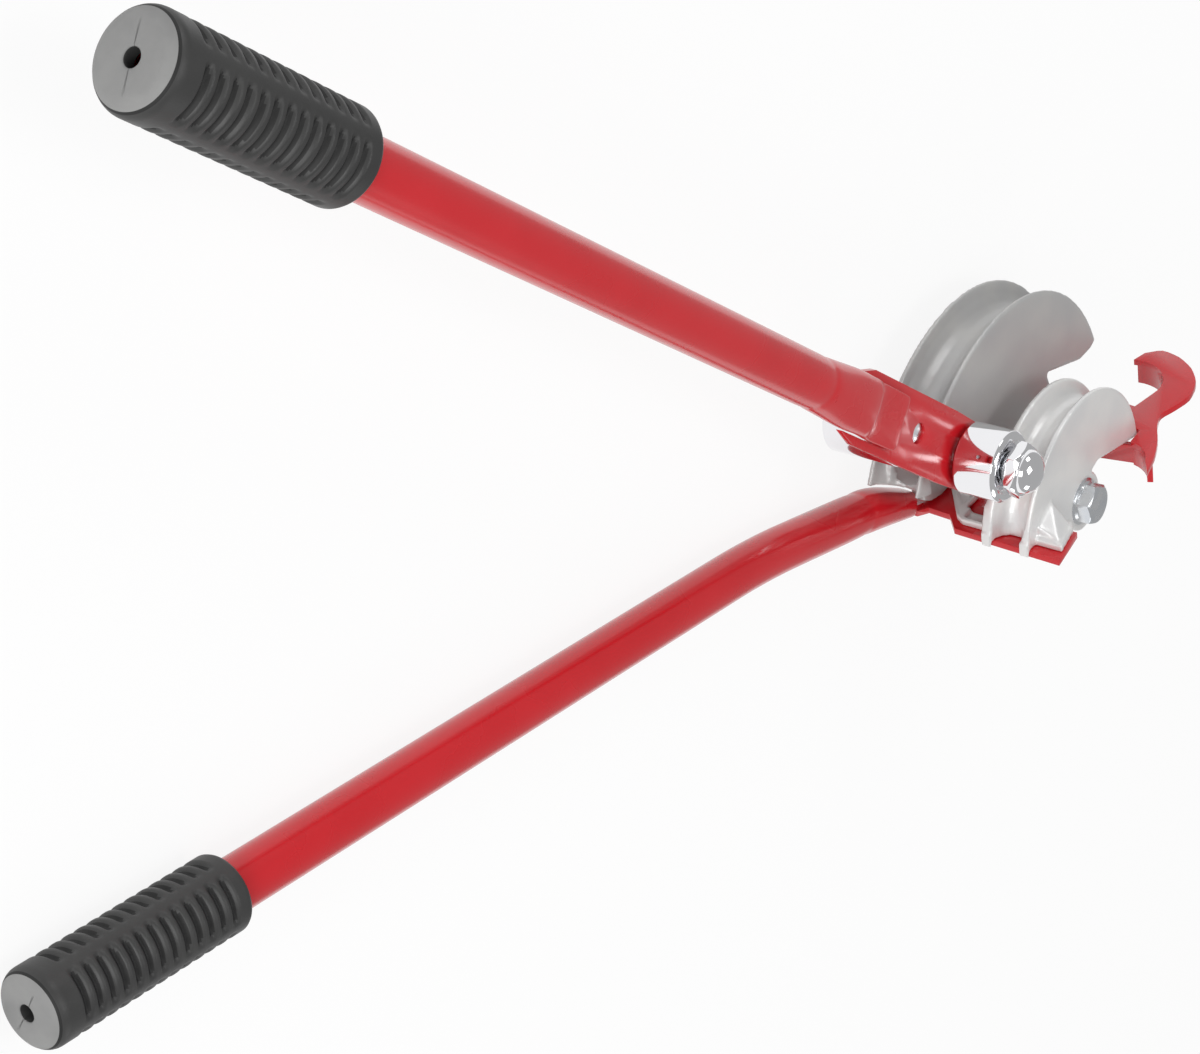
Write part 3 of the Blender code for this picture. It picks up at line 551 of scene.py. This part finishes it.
gripShape = {
    "sides": 128,
    "grooves": 13,
    "collar": 0.0052,
    "endLand": 0.0105,     # plain stretch before the closed end
    "grooveDepth": 0.0021,
    "grooveShare": 0.74,   # of the pitch
    "grooveFullness": 0.7,
    "quarterTurn": 90,     # degrees from one plain spine to the next
    "spineHalf": 7,        # degrees of plain spine on each side of its middle
    "fade": 20,            # degrees over which a groove runs out
    "mouthRound": 0.0012,  # round the open end
    "mouthBreak": 0.0004,
    "ribbedFrom": 0.002,
    "step": 0.00055,       # between two rings of the ribbed stretch
    "endRound": 0.0052,
    "endSteps": 8,
    "faceRings": (0.8, 0.6, 0.4, 0.2),
    "endWall": 0.005,
    "holeR": 0.0031,
    "holeBreak": 0.0004,
    "slitDepth": 0.0007,
    "slitHalf": 1.5,       # degrees
    "smoothAngle": 50,
    "paintedShadeFrom": 0.45,      # shares of the groove's depth between which the groove's bottom is painted darker, a painted shade
    "paintedShadeTo": 1.1,
}


def grooveDepth(along, length, turn, spineTurn):
    first, last = gripShape["collar"], length - gripShape["endLand"]
    if not first < along < last:
        return 0
    pitch = (last - first) / gripShape["grooves"]
    phase = ((along - first) % pitch) / pitch - 0.5
    if abs(phase) > gripShape["grooveShare"] / 2:
        return 0
    wave = 0.5 + 0.5 * math.cos(2 * math.pi * phase / gripShape["grooveShare"])
    quarter = gripShape["quarterTurn"]
    nearest = abs((math.degrees(turn) - spineTurn + quarter / 2) % quarter - quarter / 2)
    fade = min(max((nearest - gripShape["spineHalf"]) / gripShape["fade"], 0), 1)
    return gripShape["grooveDepth"] * wave ** gripShape["grooveFullness"] * fade * (2 - fade)


def gripRows(length, outer, bore):
    # rings of (place along, radius): up the bore, over the mouth, along the ribs and across the end
    mouth, rim, start = gripShape["mouthRound"], gripShape["mouthBreak"], gripShape["ribbedFrom"]
    edge, wall, hole = gripShape["endRound"], gripShape["endWall"], gripShape["holeR"]
    rows = [(length - wall, bore), (0.0, bore), (0.0, outer - mouth), (rim, outer - rim), (mouth, outer)]
    ribbed = length - edge - start
    steps = round(ribbed / gripShape["step"])
    rows += [(start + ribbed * step / steps, outer) for step in range(steps + 1)]
    for step in range(1, gripShape["endSteps"] + 1):
        bend = math.radians(90 * step / gripShape["endSteps"])
        rows.append((length - edge + edge * math.sin(bend), outer - edge + edge * math.cos(bend)))
    faceRow = len(rows) - 1
    for share in gripShape["faceRings"]:
        rows.append((length, hole + (outer - edge - hole) * share))
    rows += [(length, hole + gripShape["holeBreak"]), (length - gripShape["holeBreak"], hole),
             (length - wall, hole), (length - wall, bore)]
    return rows, faceRow


def gripPiece(name, length, outer, bore, spineTurn, slits, toWorld):
    rows, faceRow = gripRows(length, outer, bore)

    def pointAt(ring, turn):
        along, radius = rows[ring]
        if radius == outer:
            radius -= grooveDepth(along, length, turn, spineTurn)
        if ring > faceRow and along == length:
            for slit in slits:
                if abs((math.degrees(turn) - slit + 180) % 360 - 180) < gripShape["slitHalf"]:
                    along -= gripShape["slitDepth"]
        return toWorld(along, radius * math.cos(turn), radius * math.sin(turn))

    piece = pulledPiece(name, gripShape["sides"], len(rows), pointAt)
    smoothByAngle(piece, gripShape["smoothAngle"])
    return piece


def paintGrip(piece, tip, axis, depth, outer):
    # the end face gets the second material, a paler rubber painted to stand for the lamp light on it, and
    # the bottoms of the grooves the third, a darker rubber painted to stand for the shade in them
    paintedShadeInner = outer - gripShape["grooveDepth"] * gripShape["paintedShadeTo"]
    paintedShadeOuter = outer - gripShape["grooveDepth"] * gripShape["paintedShadeFrom"]
    piece.data.materials.append(rubberPaintedLitEnd)
    piece.data.materials.append(rubberPaintedGrooveShade)
    for face in piece.data.polygons:
        reach = (face.center - tip).dot(axis)
        radius = (face.center - tip - axis * reach).length
        if reach > -depth:
            # faces near the tip, the end face: painted paler as painted light
            face.material_index = 1
        # faces at the bottoms of the grooves: painted shade
        elif paintedShadeInner < radius < paintedShadeOuter:
            face.material_index = 2


gripPlaces = {
    "movingStart": 0.540, "movingEnd": 0.6355, "movingR": 0.0165,
    "movingSpine": -28, "movingSlits": (-95, 85),   # degrees round the grip
    "fixedLength": 0.0886, "fixedEnd": 0.5373, "fixedR": 0.0145,
    "fixedSpine": 22, "fixedSlits": (-65, 120),
    "gap": 0.0003, "faceDepth": 0.0016,
}


def movingGripPoint(along, toCamera, sideways):
    tubeLift = movingTube["stations"][-1][3]
    return movingPoint(gripPlaces["movingStart"] + along, sideways, toCamera + tubeLift)


def fixedGripPoint(along, toFront, sideways):
    return fixedPoint(gripPlaces["fixedEnd"] - gripPlaces["fixedLength"] + along, toFront, -sideways)


movingLength = gripPlaces["movingEnd"] - gripPlaces["movingStart"]
grip = gripPiece("movingHandleGrip", movingLength, gripPlaces["movingR"],
                 movingTube["radius"] + gripPlaces["gap"], gripPlaces["movingSpine"],
                 gripPlaces["movingSlits"], movingGripPoint)
dress(grip, rubber, "arm", "black_rubber", "moving_handle_grip")
paintGrip(grip, movingGripPoint(movingLength, 0, 0), armLine, gripPlaces["faceDepth"], gripPlaces["movingR"])

grip = gripPiece("fixedHandleGrip", gripPlaces["fixedLength"], gripPlaces["fixedR"],
                 fixedTube["radius"] + gripPlaces["gap"], gripPlaces["fixedSpine"],
                 gripPlaces["fixedSlits"], fixedGripPoint)
dress(grip, rubber, "frame", "black_rubber", "fixed_handle_grip")
fixedTip = fixedGripPoint(gripPlaces["fixedLength"], 0, 0)
fixedAxis = (fixedTip - fixedGripPoint(0, 0, 0)).normalized()
paintGrip(grip, fixedTip, fixedAxis, gripPlaces["faceDepth"], gripPlaces["fixedR"])
print("Grips done")


rollerShape = {
    "bore": 0.0063, "edge": 0.0014, "faceR": 0.0115, "faceDip": 0.0006, "sides": 160,
    "rounding": 0.0005, "segments": 3, "bevelAngle": 20, "smoothAngle": 40,
}

for solid, name in (("small_roller", "smallRoller"), ("large_roller", "largeRoller")):
    low, high = solidBox(solid)
    outer = (high.x - low.x) / 2
    bore, edge = rollerShape["bore"], rollerShape["edge"]
    face, dip = rollerShape["faceR"], rollerShape["faceDip"]
    profile = [(bore, low.z + dip), (face, low.z + dip), (face + dip, low.z), (outer - edge, low.z),
               (outer, low.z + edge), (outer, high.z - edge), (outer - edge, high.z),
               (face + dip, high.z), (face, high.z - dip), (bore, high.z - dip), (bore, low.z + dip)]
    piece = turnedPiece(name, (low + high) / 2, profile, rollerShape["sides"])
    roundEdges(piece, rollerShape)
    dress(piece, chromePlate, solid, "chrome", solid)

capNut = {
    "flats": 0.022, "base": 0.006, "chamfer": 0.0016, "turn": 20,
    "domeR": 0.0099, "domeRoot": 0.002, "domeSteps": 12,
    "boreR": 0.0063, "boreDepth": 0.0053, "boreSpare": 0.001,
    "rounding": 0.0002, "segments": 2, "bevelAngle": 35, "smoothAngle": 40,
}

low, high = solidBox("small_roller_cap_nut")
axle = (low + high) / 2
seatTop = low.z + capNut["base"]
nut = hexPiece("smallRollerCapNut", axle, capNut["flats"], low.z, seatTop, capNut["chamfer"],
               armTurn + math.radians(capNut["turn"]))
dome = [(0, seatTop - capNut["domeRoot"]), (capNut["domeR"], seatTop - capNut["domeRoot"])]
for step in range(capNut["domeSteps"] + 1):
    bend = math.radians(90 * step / capNut["domeSteps"])
    dome.append((capNut["domeR"] * math.cos(bend), seatTop + (high.z - seatTop) * math.sin(bend)))
joinShapes(nut, turnedPiece("dome", axle, dome), "UNION")
boreLow, boreHigh = low.z - capNut["boreSpare"], low.z + capNut["boreDepth"]
bore = [(0, boreLow), (capNut["boreR"], boreLow), (capNut["boreR"], boreHigh), (0, boreHigh)]
joinShapes(nut, turnedPiece("nutBore", axle, bore), "DIFFERENCE")
roundEdges(nut, capNut)
dress(nut, chromePlate, "arm", "chrome", "small_roller_cap_nut")

pivotHead = {
    "flats": 0.017, "chamfer": 0.0013, "headHeight": 0.0061, "headRoot": 0.0008, "headTurn": 4,
    "flangeR": 0.011, "flangeThick": 0.0017, "flangeSlope": ((1, 0.0002), (0.88, 0.0007), (0.82, 0.0017)),
    "shankR": 0.005, "pointLength": 0.001, "nutTurn": 30, "boreGap": 0.0003, "boreSpare": 0.001,
    "rounding": 0.0003, "segments": 2, "bevelAngle": 25, "smoothAngle": 35,
}

low, high = solidBox("pivot_bolt")
axis = Vector((0, 0, 0))
underside = high.z - pivotHead["headHeight"] - pivotHead["flangeThick"]
flangeTop = underside + pivotHead["flangeThick"]
shank, tip = pivotHead["shankR"], pivotHead["pointLength"]
profile = [(0, low.z), (shank - tip, low.z), (shank, low.z + tip), (shank, underside),
           (pivotHead["flangeR"], underside)]
profile += [(pivotHead["flangeR"] * share, underside + rise) for share, rise in pivotHead["flangeSlope"]]
bolt = turnedPiece("pivotBolt", axis, profile + [(0, flangeTop)])
head = hexPiece("boltHead", axis, pivotHead["flats"], flangeTop - pivotHead["headRoot"], high.z,
                pivotHead["chamfer"], math.radians(pivotHead["headTurn"]))
joinShapes(bolt, head, "UNION")
roundEdges(bolt, pivotHead)
dress(bolt, zinc, "frame", "zinc_steel", "pivot_bolt")

low, high = solidBox("pivot_nut")
nut = hexPiece("pivotNut", axis, pivotHead["flats"], low.z, high.z, pivotHead["chamfer"],
               math.radians(pivotHead["nutTurn"]))
boreR = shank + pivotHead["boreGap"]
boreLow, boreHigh = low.z - pivotHead["boreSpare"], high.z + pivotHead["boreSpare"]
bore = [(0, boreLow), (boreR, boreLow), (boreR, boreHigh), (0, boreHigh)]
joinShapes(nut, turnedPiece("nutBore", axis, bore), "DIFFERENCE")
roundEdges(nut, pivotHead)
dress(nut, zinc, "frame", "zinc_steel", "pivot_nut")

ringShape = {"rounding": 0.0002, "segments": 3, "bevelAngle": 30, "smoothAngle": 40}
rings = (   # solid, piece, bore radius, finish, slot and body
    ("pivot_washer", "pivotWasher", 0.0053, zinc, "zinc_steel", "frame"),
    ("pivot_bush", "pivotBush", 0.0053, zinc, "zinc_steel", "frame"),
    ("arm_spacer_back", "armSpacerBack", 0.0083, zinc, "zinc_steel", "frame"),
    ("arm_spacer_front", "armSpacerFront", 0.0083, zinc, "zinc_steel", "frame"),
    ("small_roller_spacer", "smallRollerSpacer", 0.0063, zinc, "zinc_steel", "arm"),
    ("small_roller_washer", "smallRollerWasher", 0.0063, chromePlate, "chrome", "arm"),
    ("large_roller_spacer", "largeRollerSpacer", 0.0063, zinc, "zinc_steel", "arm"),
)
for solid, name, bore, material, slotName, body in rings:
    low, high = solidBox(solid)
    outer = (high.x - low.x) / 2
    profile = [(bore, low.z), (outer, low.z), (outer, high.z), (bore, high.z), (bore, low.z)]
    piece = turnedPiece(name, (low + high) / 2, profile)
    roundEdges(piece, ringShape)
    dress(piece, material, body, slotName, solid)

turnedSteel = {"rounding": 0.0004, "segments": 3, "bevelAngle": 30, "smoothAngle": 40}
slimShank = {"above": 0.0030, "share": 0.78}   # keeps the screws inside the castings' soft skin

for solid, name, body in (("small_roller_bolt", "smallRollerBolt", "arm"),
                          ("large_roller_axle", "largeRollerAxle", "arm"),
                          ("small_former_screw_1", "smallFormerScrewOne", "frame"),
                          ("small_former_screw_2", "smallFormerScrewTwo", "frame")):
    piece = copyOfSolid(solid, name)
    if solid.startswith("small_former_screw"):
        low, high = solidBox(solid)
        for vertex in piece.data.vertices:
            if vertex.co.y > slimShank["above"]:
                middle = Vector(((low.x + high.x) / 2, vertex.co.y, (low.z + high.z) / 2))
                vertex.co = middle + (vertex.co - middle) * slimShank["share"]
    roundEdges(piece, turnedSteel)
    dress(piece, zinc, body, "zinc_steel", solid)
print("Rollers and fasteners done")


studio = {
    "floorSize": 16,
    "floorLevel": -0.0006,
    "floorShade": 0.9,
    "floorRoughness": 0.9,
    "floorGlow": 0.88,
    "skyShown": 1.0,
    "skyLight": 0.55,
    "skyShine": 0.42,       # what polished surfaces see of the room
    "aim": (-0.2, 0.15, 0.03),
    "lamps": [              # place, size, power
        ((-1.9, 0.7, 0.7), 0.9, 15),
        ((-0.3, 0.6, 2.2), 0.9, 10),
        ((0.6, 2.0, 1.0), 0.8, 8),
        ((-0.5, -1.9, 1.2), 0.8, 4),
    ],
}


def mixByFactor(tree, factor, usual, special):
    # the usual light where the factor is nought, and the special one where it is one
    mixer = tree.nodes.new("ShaderNodeMixShader")
    tree.links.new(factor, mixer.inputs[0])
    tree.links.new(usual.outputs[0], mixer.inputs[1])
    tree.links.new(special.outputs[0], mixer.inputs[2])
    return mixer


deselectAll()
bpy.ops.mesh.primitive_plane_add(size=studio["floorSize"], location=(0, 0, studio["floorLevel"]))
floor = bpy.context.object
floor.name = "studioFloor"
floorPaint, floorTree, floorShader = newFinish("floorPaint", (studio["floorShade"],) * 3,
                                               studio["floorRoughness"], 0)
# the floor glows for the camera and in polished surfaces, and casts none of that glow on the tool
floorRays = floorTree.nodes.new("ShaderNodeLightPath")
seen = floorTree.nodes.new("ShaderNodeMath")
seen.operation = "MAXIMUM"
floorTree.links.new(floorRays.outputs["Is Camera Ray"], seen.inputs[0])
floorTree.links.new(floorRays.outputs["Is Glossy Ray"], seen.inputs[1])
share = floorTree.nodes.new("ShaderNodeMath")
share.operation = "MULTIPLY"
share.inputs[1].default_value = studio["floorGlow"]
floorTree.links.new(seen.outputs[0], share.inputs[0])
glow = floorTree.nodes.new("ShaderNodeEmission")
floorMix = mixByFactor(floorTree, share.outputs[0], floorShader, glow)
floorTree.links.new(floorMix.outputs[0], floorTree.nodes["Material Output"].inputs["Surface"])
floor.data.materials.append(floorPaint)

sky = bpy.data.worlds.new("studioSky")
bpy.context.scene.world = sky
sky.use_nodes = True
skyTree = sky.node_tree


def skyGlow(background, strength):
    background.inputs["Color"].default_value = (1, 1, 1, 1)
    background.inputs["Strength"].default_value = strength
    return background


skyLight = skyGlow(skyTree.nodes["Background"], studio["skyLight"])
skyShine = skyGlow(skyTree.nodes.new("ShaderNodeBackground"), studio["skyShine"])
skyShown = skyGlow(skyTree.nodes.new("ShaderNodeBackground"), studio["skyShown"])
skyRays = skyTree.nodes.new("ShaderNodeLightPath")
mirrorMix = mixByFactor(skyTree, skyRays.outputs["Is Glossy Ray"], skyLight, skyShine)
cameraMix = mixByFactor(skyTree, skyRays.outputs["Is Camera Ray"], mirrorMix, skyShown)
skyTree.links.new(cameraMix.outputs[0], skyTree.nodes["World Output"].inputs["Surface"])

for number, (place, size, power) in enumerate(studio["lamps"]):
    deselectAll()
    bpy.ops.object.light_add(type="AREA", location=place)
    lamp = bpy.context.object
    lamp.name = "softbox" + str(number + 1)
    lamp.data.size = size
    lamp.data.energy = power
    aim = Vector(studio["aim"]) - Vector(place)
    lamp.rotation_euler = aim.to_track_quat("-Z", "Y").to_euler()

cameraView = {
    "place": (-0.92966, 0.76420, 0.60579),
    "turn": (-23.94558, -53.78038, -14.08694),   # degrees
    "lens": 86.1176,
    "sensor": 36,
    "clip": (0.01, 50),
}

deselectAll()
bpy.ops.object.camera_add(location=cameraView["place"])
camera = bpy.context.object
camera.name = "photoCamera"
camera.rotation_euler = [math.radians(angle) for angle in cameraView["turn"]]
camera.data.sensor_fit = "HORIZONTAL"
camera.data.sensor_width = cameraView["sensor"]
camera.data.lens = cameraView["lens"]
camera.data.clip_start, camera.data.clip_end = cameraView["clip"]
bpy.context.scene.camera = camera
bpy.context.scene.view_settings.view_transform = "Standard"
print("Studio set")
